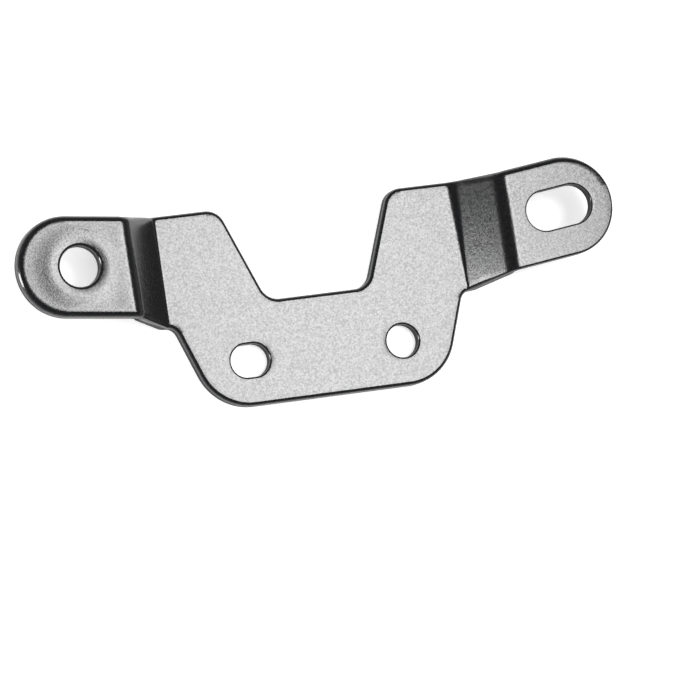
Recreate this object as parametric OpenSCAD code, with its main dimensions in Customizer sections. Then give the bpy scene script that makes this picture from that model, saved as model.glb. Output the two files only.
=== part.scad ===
// Plate bracket: one steel sheet, blanked to a U and folded up into two raised ears.
// +Z is the front, X runs along the bracket and +Y points to the mouth of the notch.
// The origin is on the back face, midway between the two centre holes.

/* [Sheet] */
// Thickness of the sheet
sheet_t = 2.3; // [1.5:0.1:3]
// Inner radius of the folds
fold_r = 1.7; // [0.8:0.1:2.5]
// Slope of the steps from the flat
step_angle = 45; // [30:1:60]
// Height of the ears above the centre plate
ear_lift = 7.5; // [5:0.1:10]

/* [Centre plate] */
// Distance between the two centre holes
centre_pitch = 32; // [28:0.5:36]
// Holes' line to the bottom edge
bottom_margin = 9; // [8:0.5:14]
// Holes' line to the floor of the notch
floor_y = 11.5; // [9:0.5:14]
// Holes' line to the top of the shoulders
shoulder_y = 30.5; // [28:0.5:34]
// Half the width of the notch at its floor
floor_half = 10.5; // [8:0.5:13]
// Lean of the notch's sides
notch_lean = 21; // [10:1:24]
// Half the width of the bottom edge, at its sharp corners
bottom_half = 24; // [22:0.5:26]
// Lean of the outer sides
side_lean = 20; // [12:1:22]
// Centre line of the bracket to the lower folds
foot_x = 31.4; // [30:0.2:36]

/* [Corners] */
// Radius in the notch's corners
notch_r = 3.8; // [1:0.1:5]
// Radius of the shoulders' corners
shoulder_r = 3.9; // [1:0.1:5]
// Radius of the bottom corners
bottom_r = 11; // [6:0.5:13]
// Radius where the outer side runs into the step
side_r = 2.5; // [1:0.1:4]

/* [Ears] */
// Width of an ear
ear_w = 20; // [17:0.5:22]
// Turn of the ears towards the notch's side
ear_turn = 7; // [0:0.5:12]
// Round ear hole to the centre of the ear's round end, along the bracket
end_past_hole = 2.6; // [0:0.1:6]
// Fall of the lower edge from the ear to the foot of the step
step_drop = 2.05; // [0:0.05:6]

/* [Holes] */
// Diameter of the round centre hole, and width of the short slot
centre_hole_d = 6.6; // [5:0.1:8]
// Length of the short centre slot
centre_slot_l = 8; // [7:0.1:10]
// Centre line of the bracket to the round ear hole
ear_hole_x = 49.5; // [47:0.1:52]
// Diameter of the round ear hole
ear_hole_d = 8; // [6:0.1:10]
// Width of the ear slot
ear_slot_w = 8; // [6:0.1:10]
// Length of the ear slot
ear_slot_l = 14; // [10:0.5:16]
// Middle of the ear slot, this much farther out than the round hole
slot_past_hole = 1; // [-2:0.1:3]

/* [Hidden] */
$fn = 96;
coat = "#232426";
// Cutters run this far past the sheet
over = 1;
// Discs and bars are this much larger than their arc, so they cross the flats they blend into
crossing = 0.001;
// Height of the blank as a prism, and of every cutter through the sheet
blank_h = ear_lift + sheet_t + 2 * over;

// Sharp fold lines: foot_x below, ear_x above
ear_x = foot_x + ear_lift / tan(step_angle);
outer_r = fold_r + sheet_t;
// Centre of the lower fold's arcs and of the upper fold's, in X and Z
foot_centre = [foot_x - fold_r * tan(step_angle / 2), outer_r];
ear_centre = [ear_x + outer_r * tan(step_angle / 2), ear_lift - fold_r];

// Ears: centre line, lower edge at the fold, and the centre of the round end
ear_rise = ear_w / 2 / cos(ear_turn);
ear_low_y = shoulder_y - 2 * ear_rise;
function ear_point(x) = [x, shoulder_y - ear_rise + (x - ear_x) * tan(ear_turn)];
ear_end = ear_point(ear_hole_x + end_past_hole);
// The ear's straight part reaches this far back, into the step
ear_l = (ear_end.x - ear_x) / cos(ear_turn) + ear_w / 4;
reach = ear_end.x + ear_w;

// Sharp corners of the outline's right half
floor_corner = [floor_half, floor_y];
shoulder_corner = [floor_half + (shoulder_y - floor_y) * tan(notch_lean), shoulder_y];
bottom_corner = [bottom_half, -bottom_margin];
step_top = [ear_x, ear_low_y];
step_foot = [foot_x, ear_low_y - step_drop];
side_corner = meet(bottom_corner, [sin(side_lean), cos(side_lean)], step_foot, step_top - step_foot);

function unit(v) = v / norm(v);
function cross2(a, b) = a.x * b.y - a.y * b.x;
// Where the line through p along d meets the line through q along e
function meet(p, d, q, e) = p + d * cross2(q - p, e) / cross2(d, e);

// A corner is [point before, corner, point after]. Where its arc starts, ends and has its centre
function to_before(c) = unit(c[0] - c[1]);
function to_after(c) = unit(c[2] - c[1]);
function half_angle(c) = acos(to_before(c) * to_after(c)) / 2;
function arc_start(c, r) = c[1] + to_before(c) * r / tan(half_angle(c));
function arc_end(c, r) = c[1] + to_after(c) * r / tan(half_angle(c));
function arc_centre(c, r) = c[1] + unit(to_before(c) + to_after(c)) * r / sin(half_angle(c));

notch_bend = [[0, floor_y], floor_corner, shoulder_corner];
shoulder_bend = [floor_corner, shoulder_corner, [ear_x, shoulder_y]];
side_bend = [step_top, side_corner, bottom_corner];
bottom_bend = [side_corner, bottom_corner, [0, -bottom_margin]];

// Centre plate and steps, each rounded corner cut straight across between its arc's ends
plate_half = [
    arc_start(notch_bend, notch_r), arc_end(notch_bend, notch_r),
    arc_start(shoulder_bend, shoulder_r), arc_end(shoulder_bend, shoulder_r),
    [ear_x + over, shoulder_y], step_top + (step_top - step_foot) * over / (ear_x - foot_x),
    arc_start(side_bend, side_r), arc_end(side_bend, side_r),
    arc_start(bottom_bend, bottom_r), arc_end(bottom_bend, bottom_r)];

// A closed outline from its right half
function mirrored(half) = concat(half, [for (i = [len(half) - 1 : -1 : 0]) [-half[i].x, half[i].y]]);

module both_sides() {
    children();
    mirror([1, 0, 0]) children();
}

module disc(centre, r) {
    translate(centre) cylinder(r = r + crossing, h = blank_h);
}

// The blank's outline, seen from the front
module blank() {
    bottom_centre = arc_centre(bottom_bend, bottom_r);
    translate([0, 0, -over]) difference() {
        union() {
            linear_extrude(blank_h) polygon(mirrored(plate_half));
            both_sides() {
                disc(arc_centre(shoulder_bend, shoulder_r), shoulder_r);
                intersection() {
                    disc(bottom_centre, bottom_r);
                    translate([0, bottom_centre.y - reach, 0]) cube([reach, reach, blank_h]);
                }
                translate(ear_end) rotate(ear_turn) {
                    cylinder(d = ear_w, h = blank_h);
                    translate([-ear_l, -ear_w / 2, 0]) cube([ear_l, ear_w, blank_h]);
                }
            }
        }
        both_sides() {
            disc(arc_centre(notch_bend, notch_r), notch_r);
            disc(arc_centre(side_bend, side_r), side_r);
        }
    }
}

// The folded section: side is 1 for a fold that opens to the front, -1 for one that opens to the back
function fold_end(centre, r, side) = centre + side * r * [sin(step_angle), -cos(step_angle)];
section_half = [
    [foot_centre.x, 0], fold_end(foot_centre, outer_r, 1), fold_end(ear_centre, fold_r, -1),
    [ear_centre.x, ear_lift], [reach, ear_lift], [reach, ear_lift + sheet_t], [ear_centre.x, ear_lift + sheet_t],
    fold_end(ear_centre, outer_r, -1), fold_end(foot_centre, fold_r, 1), [foot_centre.x, sheet_t]];

// Round bar along a fold
module bar(centre, r) {
    translate([centre.x, reach, centre.y]) rotate([90, 0, 0]) cylinder(r = r + crossing, h = 2 * reach);
}

// The round back of a fold, from the chord between its ends outwards and a little way into the sheet
module fold_back(centre, side) {
    chord = outer_r * cos(step_angle / 2) - sheet_t / 4;
    intersection() {
        bar(centre, outer_r);
        translate([centre.x, -reach, centre.y]) rotate([0, (side > 0 ? 0 : 180) - step_angle / 2, 0])
            translate([-outer_r, 0, -chord - outer_r]) cube([2 * outer_r, 2 * reach, outer_r]);
    }
}

// The sheet with its four folds, not yet trimmed
module folded_sheet() {
    difference() {
        union() {
            translate([0, reach, 0]) rotate([90, 0, 0]) linear_extrude(2 * reach) polygon(mirrored(section_half));
            both_sides() {
                fold_back(foot_centre, 1);
                fold_back(ear_centre, -1);
            }
        }
        both_sides() {
            bar(foot_centre, fold_r);
            bar(ear_centre, fold_r);
        }
    }
}

// Slot with round ends along X, through the sheet at any height
module slot_cut(w, l) {
    straight = l - w;
    for (end = [-1, 1]) translate([end * straight / 2, 0, 0]) cylinder(d = w, h = blank_h);
    translate([-straight / 2, -w / 2, 0]) cube([straight, w, blank_h]);
}

module holes() {
    translate([0, 0, -over]) {
        translate([centre_pitch / 2, 0, 0]) cylinder(d = centre_hole_d, h = blank_h);
        translate([-centre_pitch / 2, 0, 0]) slot_cut(centre_hole_d, centre_slot_l);
        translate([-ear_hole_x, ear_point(ear_hole_x).y, 0]) cylinder(d = ear_hole_d, h = blank_h);
        translate(ear_point(ear_hole_x + slot_past_hole)) rotate(ear_turn) slot_cut(ear_slot_w, ear_slot_l);
    }
}

module bracket() {
    color(coat) difference() {
        intersection() {
            folded_sheet();
            blank();
        }
        holes();
    }
}

bracket();
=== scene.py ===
# %% [markdown]
# # License plate bracket
# A number plate is carried by a small folded bracket: a centre plate that is bolted to the vehicle,
# and two raised ears that take the plate's own bolts. It is one piece of sheet steel, so it is modelled
# the way it is made: the outline is drawn flat, the holes are punched, the sheet gets its folds and its
# thickness, and the edges are rounded last.

# %% Load the frame
import math
import bpy
import bmesh
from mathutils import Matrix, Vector


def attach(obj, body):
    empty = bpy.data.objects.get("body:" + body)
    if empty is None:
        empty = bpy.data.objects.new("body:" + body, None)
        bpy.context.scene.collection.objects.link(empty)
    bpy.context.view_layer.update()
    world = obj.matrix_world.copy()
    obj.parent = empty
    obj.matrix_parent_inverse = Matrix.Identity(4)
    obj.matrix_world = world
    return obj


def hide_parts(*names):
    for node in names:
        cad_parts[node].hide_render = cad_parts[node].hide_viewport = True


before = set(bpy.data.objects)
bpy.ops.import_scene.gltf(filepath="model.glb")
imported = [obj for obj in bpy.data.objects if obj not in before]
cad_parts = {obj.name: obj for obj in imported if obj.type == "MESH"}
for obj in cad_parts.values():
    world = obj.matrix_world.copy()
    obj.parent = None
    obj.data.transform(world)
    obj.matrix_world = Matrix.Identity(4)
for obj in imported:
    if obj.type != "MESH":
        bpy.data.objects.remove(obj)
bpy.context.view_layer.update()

# %% [markdown]
# ## Sizes
# All sizes are written in millimetres, as on a drawing, and one short function turns them into metres
# where Blender needs them. The origin is on the back of the centre plate, between its two holes. Only the
# driving sizes are written down. The corners are worked out from them, to a thousandth of a millimetre.

# %% Sizes of the sheet and the folds
def mm(*v):
    return v[0] / 1000 if len(v) == 1 else tuple(x / 1000 for x in v)

sheet = 2.3
lift = 7.5
foot_x = 31.4
# the step between the two folds slopes by 45 degrees, so it runs out as far as it rises
slope_degrees = 45
ear_x = foot_x + lift
print("ears stand", lift, "mm above the centre plate, fold lines at", foot_x, "and", ear_x)

# %% Driving sizes of the outline's right half
# heights above the line through the centre holes, and half widths
notch_floor, shoulder, bottom = 11.5, 30.5, -9
notch_half, bottom_half = 10.5, 24
notch_lean, side_lean, ear_turn = [math.radians(angle) for angle in (21, 20, 7)]
ear_wide = 20
step_drop = 2.05
notch_r, shoulder_r, side_r, bottom_r = 3.8, 3.9, 2.5, 11
ear_hole_x, end_past_hole, slot_past_hole = 49.5, 2.6, 1
print("bottom edge at", bottom, "and shoulders at", shoulder, "mm, ears", ear_wide, "mm wide")

# %% The ear's centre line and round end
def micron(v):
    return round(v, 3)

ear_rise = ear_wide / 2 / math.cos(ear_turn)
ear_mid = micron(shoulder - ear_rise)
ear_low = micron(shoulder - 2 * ear_rise)
foot_low = micron(ear_low - step_drop)

def on_ear(x):
    return Vector((x, ear_mid + (x - ear_x) * math.tan(ear_turn)))

ear_end = on_ear(ear_hole_x + end_past_hole)
ear_side = Vector((-math.sin(ear_turn), math.cos(ear_turn))) * (ear_wide / 2)
print("lower edge falls from", ear_low, "to", foot_low, "mm, round end about", [micron(v) for v in ear_end])

# %% Corners of the right half, each with its radius
def meet(p, along, q, across):
    return p + along * (q - p).cross(across) / along.cross(across)

shoulder_x = micron(notch_half + (shoulder - notch_floor) * math.tan(notch_lean))
side_corner = meet(Vector((bottom_half, bottom)), Vector((math.sin(side_lean), math.cos(side_lean))),
                   Vector((foot_x, foot_low)), Vector((lift, step_drop)))
outline = [
    ((notch_half, notch_floor), notch_r), ((shoulder_x, shoulder), shoulder_r), ((ear_x, shoulder), 0),
    (ear_end + ear_side, 0), ((ear_x, ear_low), 0), ([micron(v) for v in side_corner], side_r),
    ((bottom_half, bottom), bottom_r)]
print(len(outline), "corners", [tuple(micron(v) for v in corner) for corner, _ in outline])

# %% [markdown]
# ## Drawing the outline
# A plane is added and merged to a single point, which is then used as a pen. Extrude draws the straight
# runs. Spin draws the round corners, because it makes a true arc about a centre, which a bevelled corner
# only comes near. Only the right half is drawn, since the outline is the same on both sides.

# %% Start the pen at the middle of the notch's floor
def deselect_objects():
    if bpy.context.mode != "OBJECT":
        bpy.ops.object.mode_set(mode="OBJECT")
    bpy.ops.object.select_all(action="DESELECT")

def edit_mesh():
    return bmesh.from_edit_mesh(bpy.context.object.data)

def pen():
    spot = [v.co for v in edit_mesh().verts if v.select][0]
    return Vector((spot.x * 1000, spot.y * 1000))

deselect_objects()
bpy.ops.mesh.primitive_plane_add(size=mm(1), location=mm(0, notch_floor, 0))
bracket = bpy.context.object
bracket.name = "bracket_sheet"
bpy.ops.object.transform_apply(location=True)
bpy.ops.object.mode_set(mode="EDIT")
bpy.ops.mesh.select_all(action="SELECT")
bpy.ops.mesh.merge(type="CENTER")
print("pen at", pen())

# %% Straight runs and round corners
degrees_a_step = 3

def run_to(spot):
    step = (Vector(spot) - pen()) / 1000
    bpy.ops.mesh.extrude_region_move(TRANSFORM_OT_translate={"value": (step.x, step.y, 0)})

def arc_about(centre, degrees):
    steps = max(2, round(abs(degrees) / degrees_a_step))
    # with no window open, spin turns clockwise about +Z, so a turn to the left is negative
    angle = -math.radians(degrees)
    bpy.ops.mesh.spin(steps=steps, angle=angle, axis=(0, 0, 1), center=mm(centre.x, centre.y, 0))

def round_corner(before, corner, after, r):
    u, v = (before - corner).normalized(), (after - corner).normalized()
    half = u.angle(v) / 2
    centre = corner + (u + v).normalized() * r / math.sin(half)
    left = (corner - before).cross(after - corner) > 0
    run_to(corner + u * r / math.tan(half))
    arc_about(centre, (180 - 2 * math.degrees(half)) * (1 if left else -1))

print("a half round end takes", 180 // degrees_a_step, "steps")

# %% Follow the corners
stops = [(Vector((0, notch_floor)), 0)] + [(Vector(p), r) for p, r in outline] + [(Vector((0, bottom)), 0)]
ear_top = Vector(ear_end + ear_side)
for (before, _), (corner, r), (after, _) in zip(stops, stops[1:], stops[2:]):
    if r:
        round_corner(before, corner, after, r)
    else:
        run_to(corner)
    if corner == ear_top:
        arc_about(ear_end, -180)
run_to(stops[-1][0])
print("pen ends at", pen(), "with", len(edit_mesh().verts), "points")

# %% [markdown]
# ## The other half and the holes
# The half is duplicated and flipped across the centre line, and the doubled points on that line are
# merged. The holes are circles in the same drawing. A slot is a circle whose two halves are pulled apart,
# so its ends stay true half rounds. The left ear's round hole sits in a shallow boss, so it starts as a
# wider circle and reaches its size through rings that can take that shape.

# %% Flip the half
bpy.ops.mesh.select_all(action="SELECT")
bpy.ops.mesh.duplicate()
bpy.ops.transform.resize(value=(-1, 1, 1), center_override=(0, 0, 0))
bpy.ops.mesh.select_all(action="SELECT")
bpy.ops.mesh.remove_doubles(threshold=mm(0.002))
print("outline has", len(edit_mesh().verts), "points and", len(edit_mesh().edges), "runs")

# %% Draw a hole
hole_points = 72
# a point this near to a circle still belongs to it
near = 0.1

def choose_points(test):
    edit = edit_mesh()
    for v in edit.verts:
        v.select = bool(test(v.co.xy * 1000))
    edit.select_flush_mode()

def hole(centre, r, length=0, turn=0):
    half_step = math.radians(180 / hole_points)
    bpy.ops.mesh.primitive_circle_add(vertices=hole_points, radius=mm(r), location=mm(centre.x, centre.y, 0),
                                      rotation=(0, 0, turn + half_step))
    if length:
        pull = Vector((math.cos(turn), math.sin(turn))) * (length / 2 - r)
        own = length / 2 + near
        for side in (1, -1):
            choose_points(lambda p: (p - centre).length < own and side * (p - centre).dot(pull) > 0)
            bpy.ops.transform.translate(value=mm(side * pull.x, side * pull.y, 0))
    print("hole at", [round(c, 2) for c in centre], "radius", r, "length", length or 2 * r)

print("each hole gets", hole_points, "points")

# %% Punch the holes
centre_hole = Vector((16, 0))
pressed = Vector((-ear_hole_x, on_ear(ear_hole_x).y))
ear_slot = on_ear(ear_hole_x + slot_past_hole)
centre_hole_r, ear_hole_r = 3.3, 4
pressed_rings = (7.4, 6.8, 6.2, ear_hole_r)
bpy.ops.mesh.select_mode(type="VERT")
hole(centre_hole, centre_hole_r)
hole(-centre_hole, centre_hole_r, length=8)
hole(pressed, pressed_rings[0])
hole(ear_slot, ear_hole_r, length=14, turn=ear_turn)

# %% Fill the outline
bpy.ops.mesh.select_all(action="SELECT")
bpy.ops.mesh.fill(use_beauty=True)
print("filled with", len(edit_mesh().faces), "triangles")

# %% Rings towards the pressed hole
for wide, narrow in zip(pressed_rings, pressed_rings[1:]):
    choose_points(lambda p: (p - pressed).length < wide + near)
    bpy.ops.mesh.extrude_region_move()
    k = narrow / wide
    bpy.ops.transform.resize(value=(k, k, 1), center_override=mm(pressed.x, pressed.y, 0))
bpy.ops.mesh.select_all(action="SELECT")
bpy.ops.mesh.normals_make_consistent(inside=False)
if sum(f.normal.z for f in edit_mesh().faces) < 0:
    bpy.ops.mesh.flip_normals()
print("flat blank of", round(sum(f.calc_area() for f in edit_mesh().faces) * 1e6), "mm2")

# %% [markdown]
# Fill leaves long triangles that meet the outline at all angles, and a bevel would slide along them. An
# inset of the whole blank puts one even ring of four-sided faces inside every edge, for the bevel to use.

# %% Inset a ring along every edge
edge_ring = 1.6
bpy.ops.mesh.inset(thickness=mm(edge_ring), use_boundary=True, use_even_offset=True)
bpy.ops.mesh.select_mode(type="FACE")
print("blank with its ring has", len(edit_mesh().faces), "faces")

# %% [markdown]
# ## Folding
# Two folds on each side lift the ears. The lower fold is open at the notch's side and nearly sharp at the
# other edge, and the left side's folds are tighter than the right's. A bend modifier gives one radius
# only. Here the blank is bisected with fold lines that fan out, and each point is then lifted to the
# height that the fold has there.

# %% Radii of the folds, seen from the front
def clamp(v, low=0, high=1):
    return min(high, max(low, v))

fold_long = shoulder - foot_low
ear_fold_r = {1: 4.0, -1: 3.0}
foot_sharp, foot_widest = 0.35, {1: 3.55, -1: 1.3}
# above 1, the lower fold opens faster near the notch's side
opening_power = 1.3

def foot_r(side, y):
    share = clamp((y - foot_low) / fold_long)
    return foot_sharp + (foot_widest[side] - foot_sharp) * share ** opening_power

for side in (1, -1):
    opening = [round(foot_r(side, y), 2) for y in (foot_low, 20, shoulder)]
    print("the lower fold on side", side, "opens through radii of", opening)

# %% Height of the front face at any place
slope = math.radians(slope_degrees)
half_slope = math.tan(slope / 2)

def height(x, y):
    side = 1 if x > 0 else -1
    x, low, high = abs(x), foot_r(side, y), ear_fold_r[side]
    start, top = foot_x - low * half_slope, ear_x + high * half_slope
    if x <= start:
        return sheet
    if x <= start + low * math.sin(slope):
        return sheet + low - math.sqrt(max(0, low * low - (x - start) ** 2))
    if x >= top:
        return sheet + lift
    if x >= top - high * math.sin(slope):
        return sheet + lift - high + math.sqrt(high * high - (top - x) ** 2)
    return sheet + x - foot_x

print("heights", [round(height(x, 20), 2) for x in (28, 31, 32, 35, 38, 40, 42)])

# %% Score the fold lines
# A line lies where its fold has turned by so many degrees. The lower fold's lines fan out, because its
# radius grows along them, and the upper fold's lines are parallel.
def score(side, x_low, x_high):
    across = Vector((fold_long, side * (x_low - x_high), 0)).normalized()
    bpy.ops.mesh.select_all(action="SELECT")
    bpy.ops.mesh.bisect(plane_co=mm(side * x_low, foot_low, 0), plane_no=across)

def score_both(side, turned, beside=0):
    radii = math.sin(math.radians(turned)) - half_slope
    x_low, x_high = [foot_x + foot_r(side, y) * radii + beside for y in (foot_low, shoulder)]
    score(side, x_low, x_high)
    x_ear = ear_x - ear_fold_r[side] * radii - beside
    score(side, x_ear, x_ear)

# One line runs right through the outline's corner at the ear, because two points that almost touch there
# would spoil the bevel.
at_corner = math.degrees(math.asin(half_slope))
turns = (0, at_corner / 3, at_corner / 1.5, at_corner, at_corner + 6.8, at_corner + 13.7, slope_degrees)
for side in (1, -1):
    for turned in turns:
        score_both(side, turned)
print("scored blank has", len(edit_mesh().faces), "faces")

# %% Score a line beside each fold
# Smooth shading spreads over a whole face, so these lines keep it inside the fold. The lines on the slope
# let the rounding of its edges change in small steps.
beside_fold = 0.25
slope_start, slope_long, slope_steps = 33.2, 3.6, 12
for side in (1, -1):
    score_both(side, 0, beside=-beside_fold)
    score_both(side, slope_degrees, beside=beside_fold)
    for step in range(slope_steps + 1):
        x = slope_start + slope_long / slope_steps * step
        score(side, x, x)
bpy.ops.mesh.select_all(action="SELECT")
bpy.ops.mesh.remove_doubles(threshold=mm(0.02))
print("with lines beside the folds", len(edit_mesh().faces), "faces")

# %% Finer faces on the left ear, round the rings of the pressed hole
# This comes after the fold lines, so that no small face reaches into the fold. The ring along the outline
# and the rings of the pressed hole stay as they are.
past_fold = 41
inside_edge_ring = ear_wide / 2 - edge_ring - near
outside_rings = pressed_rings[0] - near
edit = edit_mesh()
for f in edit.faces:
    p = f.calc_center_median().xy * 1000
    from_axis = (Vector((-p.x, p.y)) - on_ear(clamp(-p.x, ear_x, ear_end.x))).length
    f.select = p.x < -past_fold and from_axis < inside_edge_ring and (p - pressed).length > outside_rings
edit.select_flush(False)
bpy.ops.mesh.subdivide(number_cuts=2)
print("left ear cut finer,", len(edit_mesh().faces), "faces")

# %% Lift every point to its place in the folds
bpy.ops.mesh.select_all(action="SELECT")
edit = edit_mesh()
for v in edit.verts:
    v.co.z = mm(height(v.co.x * 1000, v.co.y * 1000))
bmesh.update_edit_mesh(bracket.data)
bpy.ops.object.mode_set(mode="OBJECT")
print("folded sheet's front face", [round(c * 1000, 2) for c in bracket.dimensions])

# %% [markdown]
# ## Thickness
# An extrusion straight down would leave the steps thinner than the rest. Solidify grows the sheet backwards
# from its front face and keeps the thickness even round the folds. It also puts the cut edges on a
# material of their own, which marks where faces and edges meet.

# %% Two finishes on one sheet
for name in ("satin_coat", "cut_edge"):
    bracket.data.materials.append(bpy.data.materials.new(name))
solid = bracket.modifiers.new("thickness", "SOLIDIFY")
solid.thickness = mm(sheet)
solid.offset = -1
solid.use_even_offset = True
solid.material_offset_rim = 1
bpy.context.view_layer.objects.active = bracket
bpy.ops.object.modifier_apply(modifier="thickness")
print("box", [[round(c * 1000, 3) for c in bracket.bound_box[i]] for i in (0, 6)])

# %% [markdown]
# ## The boss
# The left ear has a shallow boss round its hole: the face dips by less than a tenth of a millimetre
# towards the hole and falls away as little outside it, which is enough to bend the light on it. A bump in
# the coat would look the same and leave the mesh flat. Here it is real shape, given to both faces at once,
# because pressing moves both together.

# %% The shallow boss round the pressed hole
boss_r, boss_in, boss_out = 5.6, 1.6, 4
boss_dip, boss_fall, dip_power = 0.08, 0.085, 1.5
boss_from, boss_fade = 41.2, 3

def smooth(v):
    return v ** 2 * (3 - 2 * v)

def sink(x, y):
    r = (Vector((x, y)) - pressed).length
    inward = clamp((boss_r - r) / boss_in)
    outward = clamp((r - boss_r) / boss_out)
    flat_by_fold = clamp((-x - boss_from) / boss_fade)
    return flat_by_fold * (boss_dip * inward ** dip_power + boss_fall * smooth(outward))

for v in bracket.data.vertices:
    v.co.z -= mm(sink(v.co.x * 1000, v.co.y * 1000))
print("boss sinks", [round(sink(pressed.x - r, pressed.y), 3) for r in (4, 5.6, 6.2, 6.8, 7.4, 9, 10)])

# %% [markdown]
# ## Rounded edges
# Punching rolls the sheet's front edge over, so that edge is round, and rounder on the ears than on the
# centre plate. The right ear's end and lower edge are sharper, and so is the whole back edge. Separate
# bevels would have to meet somewhere. One bevel does all of it, with each edge's own weight.

# %% How round each edge is
plate_round, ear_adds, sharp_end_takes = 0.78, 0.42, 0.7
# a hole's centre, how far away a point is still on its edge, and how round that edge is
hole_rounds = [(centre_hole, 4.5, 0.4), (-centre_hole, 4.5, 0.4), (pressed, 4.5, 0.6), (ear_slot, 7.5, 0.35)]
# round the right ear's end, the edge gets sharper from 80 degrees above the ear's axis down to 10 degrees
sharper_from, sharper_over = 80, 70

def front_radius(spot):
    for centre, reach, radius in hole_rounds:
        if (spot - centre).length < reach:
            return radius
    up_the_slope = clamp((abs(spot.x) - slope_start) / slope_long)
    outward = spot - on_ear(clamp(spot.x, ear_x, ear_end.x))
    above_axis = math.degrees(math.atan2(outward.y, outward.x) - ear_turn)
    sharper = smooth(clamp((sharper_from - above_axis) / sharper_over)) if spot.x > 0 else 0
    return plate_round + up_the_slope * (ear_adds - sharp_end_takes * sharper)

for name, spot in {"plate": (0, bottom), "ear": (ear_end.x, 40), "right ear's end": (70, ear_end.y)}.items():
    print("front edge of the", name, "is rounded by", round(front_radius(Vector(spot)), 2), "mm")

# %% Give each edge its weight
widest_round, back_round = 1.2, 0.15
mesh = bracket.data
sides = {}
for face in mesh.polygons:
    for key in face.edge_keys:
        sides.setdefault(key, []).append(face)
weights = mesh.attributes.new("bevel_weight_edge", "FLOAT", "EDGE")
for edge in mesh.edges:
    pair = sides[edge.key]
    if len({f.material_index for f in pair}) == 2:
        coat_face = next(f for f in pair if f.material_index == 0)
        middle = sum((mesh.vertices[i].co.xy for i in edge.vertices), Vector((0, 0))) * 1000 / 2
        radius = front_radius(middle) if coat_face.normal.z > 0 else back_round
        weights.data[edge.index].value = radius / widest_round
print("weighted edges", sum(w.value > 0 for w in weights.data), "of", len(mesh.edges))

# %% Round them
rounding = bracket.modifiers.new("rounding", "BEVEL")
rounding.limit_method = "WEIGHT"
rounding.width = mm(widest_round)
rounding.segments = 6
rounding.use_clamp_overlap = False
rounding.loop_slide = False
rounding.material = 0
bpy.ops.object.modifier_apply(modifier="rounding")
for v in bracket.data.vertices:
    v.co.z = clamp(v.co.z, 0, mm(sheet + lift))
print("rounded sheet has", len(bracket.data.polygons), "faces")

# %% Shade it smooth
shading = bracket.modifiers.new("shading", "WEIGHTED_NORMAL")
shading.weight = 100
shading.keep_sharp = False
deselect_objects()
bracket.select_set(True)
bpy.ops.object.shade_smooth()
bpy.ops.object.modifier_apply(modifier="shading")
print("finished sheet is", [round(c * 1000, 2) for c in bracket.dimensions], "mm")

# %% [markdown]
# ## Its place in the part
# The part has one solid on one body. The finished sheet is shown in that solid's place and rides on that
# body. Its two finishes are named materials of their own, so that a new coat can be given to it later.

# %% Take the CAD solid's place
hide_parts("bracket")
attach(bracket, "root")
print(bracket.name, "stands for the solid bracket")

# %% [markdown]
# ## The coat
# The steel wears a thin black coat with a satin gloss. Its own colour is nearly black, and what makes the
# faces look light grey is the lamp that they mirror, so gloss matters more than colour. Fine noise on the
# object's own coordinates gives the grain of the coat, in its gloss, its colour and as a slight relief.

# %% A coat from one fine noise
noise_range = (0.3, 0.7)
colour_stops = (0.35, 0.65)
tint = (1, 1.03, 1.12)
relief_deep = 0.05

def coat(material, black, gloss, roughness, grain, relief):
    material.use_nodes = True
    nodes, links = material.node_tree.nodes, material.node_tree.links
    shader = nodes["Principled BSDF"]
    place = nodes.new("ShaderNodeTexCoord")
    noise = nodes.new("ShaderNodeTexNoise")
    noise.inputs["Scale"].default_value = grain
    noise.inputs["Detail"].default_value = 3
    links.new(place.outputs["Object"], noise.inputs["Vector"])
    for socket, (low, high) in (("Specular IOR Level", gloss), ("Roughness", roughness)):
        spread = nodes.new("ShaderNodeMapRange")
        spread.inputs["From Min"].default_value, spread.inputs["From Max"].default_value = noise_range
        spread.inputs["To Min"].default_value, spread.inputs["To Max"].default_value = low, high
        links.new(noise.outputs["Fac"], spread.inputs["Value"])
        links.new(spread.outputs["Result"], shader.inputs[socket])
    ramp = nodes.new("ShaderNodeValToRGB")
    for stop, at, dark in zip(ramp.color_ramp.elements, colour_stops, black):
        stop.position, stop.color = at, [dark * t for t in tint] + [1]
    links.new(noise.outputs["Fac"], ramp.inputs["Fac"])
    links.new(ramp.outputs["Color"], shader.inputs["Base Color"])
    bump = nodes.new("ShaderNodeBump")
    bump.inputs["Strength"].default_value = relief
    bump.inputs["Distance"].default_value = mm(relief_deep)
    links.new(noise.outputs["Fac"], bump.inputs["Height"])
    links.new(bump.outputs["Normal"], shader.inputs["Normal"])
    print(material.name, "has a gloss of", gloss, "and a roughness of", roughness)

# %% Satin on the faces, and duller on the cut edges
satin, cut = bpy.data.materials["satin_coat"], bpy.data.materials["cut_edge"]
coat(satin, black=(0.004, 0.01), gloss=(0.5, 1), roughness=(0.15, 0.2), grain=2800, relief=0.12)
coat(cut, black=(0.004, 0.009), gloss=(0.05, 0.25), roughness=(0.4, 0.6), grain=2000, relief=0.5)

# %% [markdown]
# ## The floor
# The bracket lies on a plain white floor. More light on the floor would be more light on the bracket too,
# so the floor gets its last brightness as a glow that only the camera and mirror images see. The glow is
# weak, so that the shadow on the floor stays.

# %% A white floor with a faint glow for the camera
deselect_objects()
bpy.ops.mesh.primitive_plane_add(size=8, location=(0, 0, -mm(0.02)))
floor = bpy.context.object
floor.name = "floor"
white = bpy.data.materials.new("white_floor")
white.use_nodes = True
nodes, links = white.node_tree.nodes, white.node_tree.links
paper = nodes["Principled BSDF"]
paper.inputs["Base Color"].default_value = (0.9, 0.9, 0.9, 1)
paper.inputs["Roughness"].default_value = 0.9
paper.inputs["Emission Color"].default_value = (1, 1, 1, 1)

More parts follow.
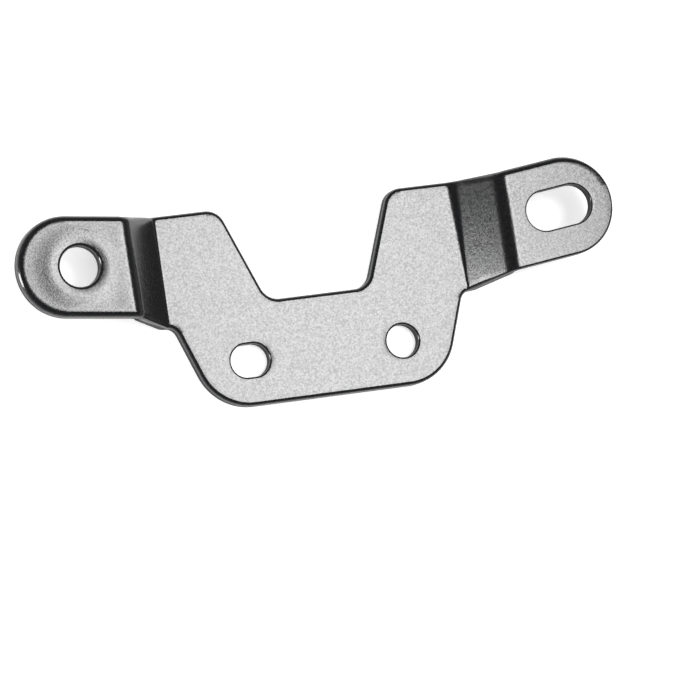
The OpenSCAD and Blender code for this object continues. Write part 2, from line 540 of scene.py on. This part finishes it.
def math_node(name, operation, *sources):
    node = nodes.new("ShaderNodeMath")
    node.operation, node.name = operation, name
    for socket, source in zip(node.inputs, sources):
        links.new(source, socket)
    return node

ray = nodes.new("ShaderNodeLightPath").outputs
seen = math_node("seen_or_mirrored", "MAXIMUM", ray["Is Camera Ray"], ray["Is Glossy Ray"])
seen = math_node("or_through_glass", "MAXIMUM", seen.outputs[0], ray["Is Transmission Ray"])
glow = math_node("glow", "MULTIPLY", seen.outputs[0])
glow.inputs[1].default_value = 0.4
links.new(glow.outputs[0], paper.inputs["Emission Strength"])
floor.data.materials.append(white)
print("floor of", round(floor.dimensions.x), "m")

# %% [markdown]
# ## The light
# A soft light hangs up and to the right, just wide enough that every flat face mirrors it into the camera.
# Gloss shows the lamps themselves, so their size and place matter as much as their strength. The rest
# above is dim, so a folded or rounded surface turns black as soon as it looks past the light. A small low
# light on the left greys the right-hand step. The large light overhead brightens the floor and the
# shadows, and the coat doesn't mirror it. The world is a little lighter near the horizon, which gives the
# black coat a sheen when it is seen from a flat angle. Places and sizes of the lamps are in metres.

# %% Lights
def soft_light(name, place, size, radiance, target=(0, 0.012, 0)):
    lamp = bpy.data.lights.new(name, "AREA")
    lamp.shape, lamp.size, lamp.size_y = "RECTANGLE", size[0], size[1]
    lamp.energy = radiance * math.pi * size[0] * size[1]
    holder = bpy.data.objects.new(name, lamp)
    bpy.context.scene.collection.objects.link(holder)
    holder.location = place
    holder.rotation_euler = (Vector(target) - Vector(place)).to_track_quat("-Z", "Y").to_euler()
    print(name, "gives", round(lamp.energy, 2), "W")
    return holder

soft_light("upper_right", place=(0.335, 0.085, 1.0), size=(0.34, 0.27), radiance=12.7)
soft_light("low_left", place=(-0.30, -0.003, 0.068), size=(0.086, 0.135), radiance=18.5)

# %% Overhead light without a mirror image in the coat
fill = soft_light("overhead_fill", place=(0.1, 0, 1.4), size=(3, 3), radiance=1.35)
fill.visible_glossy = False

# %% A dim world that gets lighter towards the horizon
world = bpy.data.worlds.new("studio")
world.use_nodes = True
nodes, links = world.node_tree.nodes, world.node_tree.links
direction = nodes.new("ShaderNodeTexCoord")
parts = nodes.new("ShaderNodeSeparateXYZ")
dim = nodes.new("ShaderNodeMapRange")
dim.interpolation_type = "SMOOTHSTEP"
fade = {"From Min": 0.1, "From Max": 0.75, "To Min": 0.4, "To Max": 0.05}
for name, value in fade.items():
    dim.inputs[name].default_value = value
links.new(direction.outputs["Generated"], parts.inputs[0])
links.new(parts.outputs["Z"], dim.inputs["Value"])
links.new(dim.outputs["Result"], nodes["Background"].inputs["Strength"])
nodes["Background"].inputs["Color"].default_value = (1, 1, 1, 1)
bpy.context.scene.world = world
print("world from", fade["To Max"], "above to", fade["To Min"], "at the horizon")

# %% [markdown]
# ## The camera
# The camera looks down on the bracket from the photograph's angle. A long lens from a metre away keeps
# the far ear almost as large as the near one, as in the photograph.

# %% Camera
eye = bpy.data.objects.new("camera", bpy.data.cameras.new("camera"))
bpy.context.scene.collection.objects.link(eye)
eye.location = (-0.31577, -0.08775, 0.95253)
eye.rotation_euler = [math.radians(angle) for angle in (7.923, -17.619, -9.462)]
eye.data.sensor_width = 36
eye.data.lens = 261.35
bpy.context.scene.camera = eye
bpy.context.scene.view_settings.view_transform = "Standard"
print("camera is", round(eye.location.length, 3), "m from the origin")
